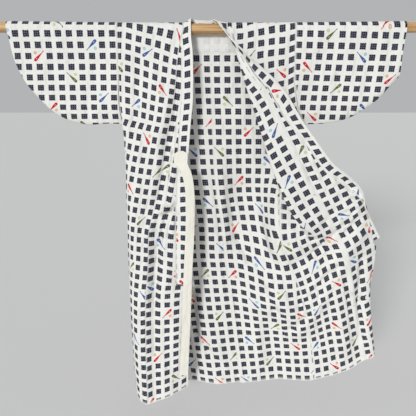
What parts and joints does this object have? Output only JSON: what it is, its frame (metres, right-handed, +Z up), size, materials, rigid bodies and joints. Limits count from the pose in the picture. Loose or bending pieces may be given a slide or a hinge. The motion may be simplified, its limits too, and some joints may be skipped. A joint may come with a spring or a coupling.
{
  "type": "child's cotton yukata robe on a wooden rod",
  "caption": "Open-front child's cotton robe, hung through both sleeves on a round rod, with one front turned back to show its inside.",
  "frame": {"origin": "on the rod's axis, halfway along it, where a hand or bracket holds it", "axes": "+X along the rod to the viewer's right, which is the wearer's left; +Y away from the viewer; +Z up"},
  "size_m": [1.2, 0.1269, 1.0378],
  "materials": {
    "rod": "turned wood, satin",
    "body_right": "printed plain-weave cotton, matte",
    "body_left": "printed plain-weave cotton, matte",
    "okumi_right": "printed plain-weave cotton, matte",
    "okumi_left": "printed plain-weave cotton, matte",
    "sleeve_right": "printed plain-weave cotton, matte",
    "sleeve_left": "printed plain-weave cotton, matte",
    "collar": "printed plain-weave cotton, matte",
    "neck_patch": "plain white cotton, matte",
    "tie_right": "plain cream cotton tape, matte",
    "tie_left": "plain cream cotton tape, matte"
  },
  "bodies": {
    "root": {"rod": "rod", "body_right": "body_right", "body_left": "body_left", "okumi_right": "okumi_right", "okumi_left": "okumi_left", "sleeve_right": "sleeve_right", "sleeve_left": "sleeve_left", "collar": "collar", "neck_patch": "neck_patch", "tie_right": "tie_right", "tie_left": "tie_left"}
  },
  "joints": []
}
